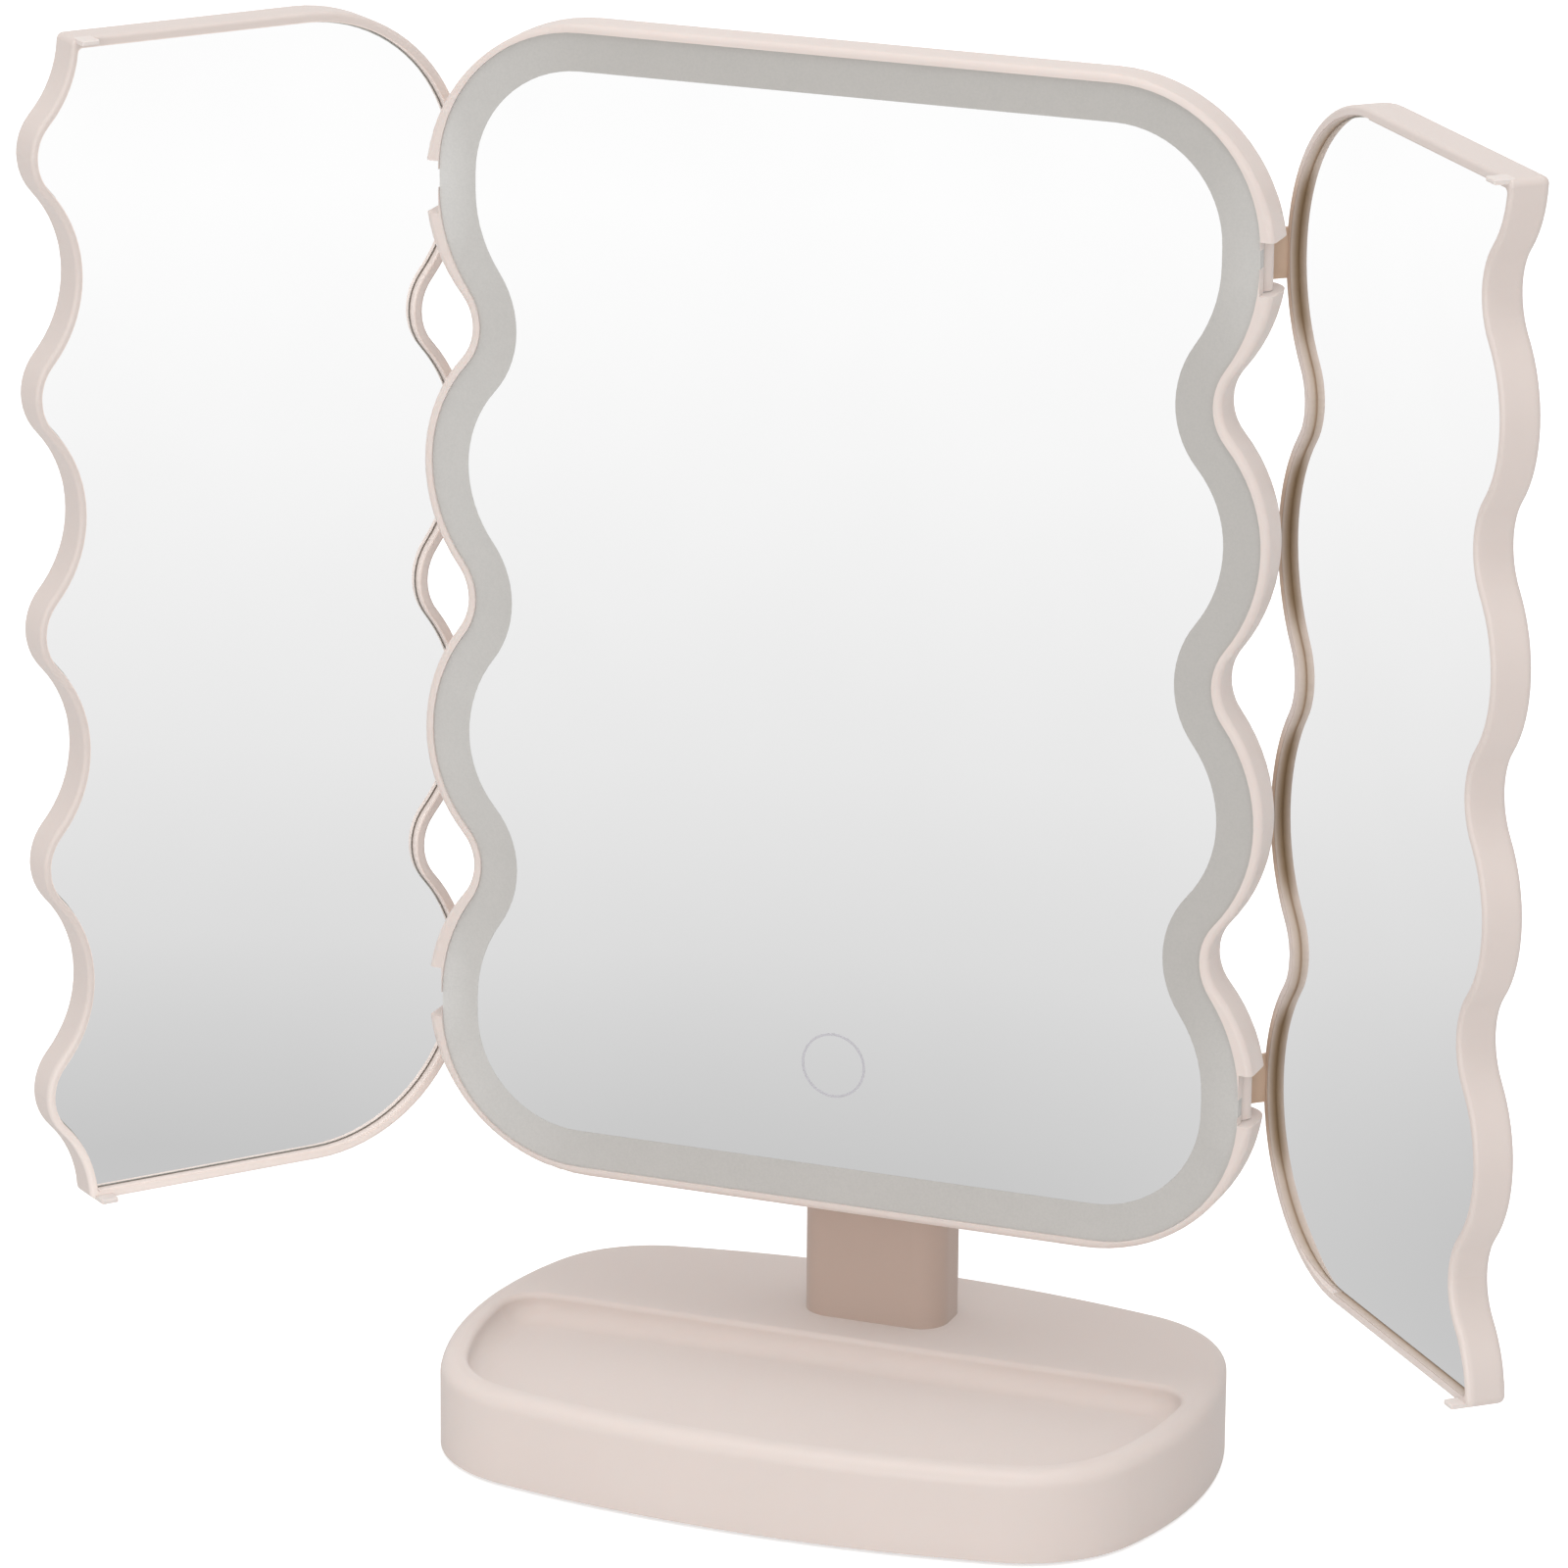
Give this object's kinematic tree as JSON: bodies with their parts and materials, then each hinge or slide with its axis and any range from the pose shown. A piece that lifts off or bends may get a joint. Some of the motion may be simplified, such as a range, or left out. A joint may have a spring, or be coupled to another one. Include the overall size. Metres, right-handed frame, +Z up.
{
  "type": "lighted makeup mirror",
  "caption": "Tri-fold makeup mirror with wavy-edged folding wings, a frosted light band and a touch ring, tilting on a neck over a base with a shallow tray.",
  "frame": {"origin": "centre of the underside of the base's non-slip pad, on the surface it stands on", "axes": "+Z up, -Y towards the user, +X to the user's right when facing the mirror"},
  "size_m": [0.3079, 0.1144, 0.2912],
  "materials": {
    "shell_pink": "fine satin, pale blush pink",
    "neck_pink": "satin, darker blush",
    "mirror": "clear silvered glass",
    "frosted": "frosted, lights up",
    "touch_print": "pale printed ring",
    "steel": "plain steel",
    "board_white": "white circuit board",
    "board_green": "green circuit board",
    "led": "pale phosphor",
    "cell": "foil pouch",
    "rubber": "matt non-slip",
    "soft_pink": "soft pale pink",
    "backing": "grey backing board",
    "nylon": "dark nylon",
    "copper": "copper foil"
  },
  "bodies": {
    "stand": {"base_shell": "shell_pink", "base_plate": "shell_pink", "base_pad": "rubber", "base_screws": "steel", "ballast": "steel", "neck_post": "neck_pink", "neck_clamp": "steel", "neck_screws": "steel"},
    "head": {"head_frame": "shell_pink", "rear_cover": "shell_pink", "head_screws": "steel", "light_band": "frosted", "main_mirror": "mirror", "mirror_backer": "backing", "touch_pad": "copper", "touch_contact": "nylon", "touch_ring": "touch_print", "led_board": "board_white", "led_chips": "led", "control_board": "board_green", "charging_socket": "steel", "battery": "cell", "hinge_pins": "steel", "tilt_bracket": "neck_pink", "bracket_screws": "steel", "tilt_pin": "steel", "tilt_washers": "nylon", "tilt_caps": "neck_pink"},
    "left_wing": {"left_wing_frame": "shell_pink", "left_wing_mirror": "mirror", "left_wing_backer": "backing", "left_wing_stops": "soft_pink"},
    "right_wing": {"right_wing_frame": "shell_pink", "right_wing_mirror": "mirror", "right_wing_backer": "backing", "right_wing_stops": "soft_pink"}
  },
  "joints": [
    {"name": "head_tilt", "type": "hinge", "parent": "stand", "child": "head", "pos_m": [0, 0.02755, 0.1132], "axis": [-1, 0, 0], "range_deg": [-5, 25]},
    {"name": "left_wing_fold", "type": "hinge", "parent": "head", "child": "left_wing", "pos_m": [-0.0845, 0.0024, 0.1712], "axis": [0, 0, 1], "range_deg": [-51.5, 128.5]},
    {"name": "right_wing_fold", "type": "hinge", "parent": "head", "child": "right_wing", "pos_m": [0.0845, 0.0024, 0.1712], "axis": [0, 0, -1], "range_deg": [-47.25, 132.75]}
  ]
}
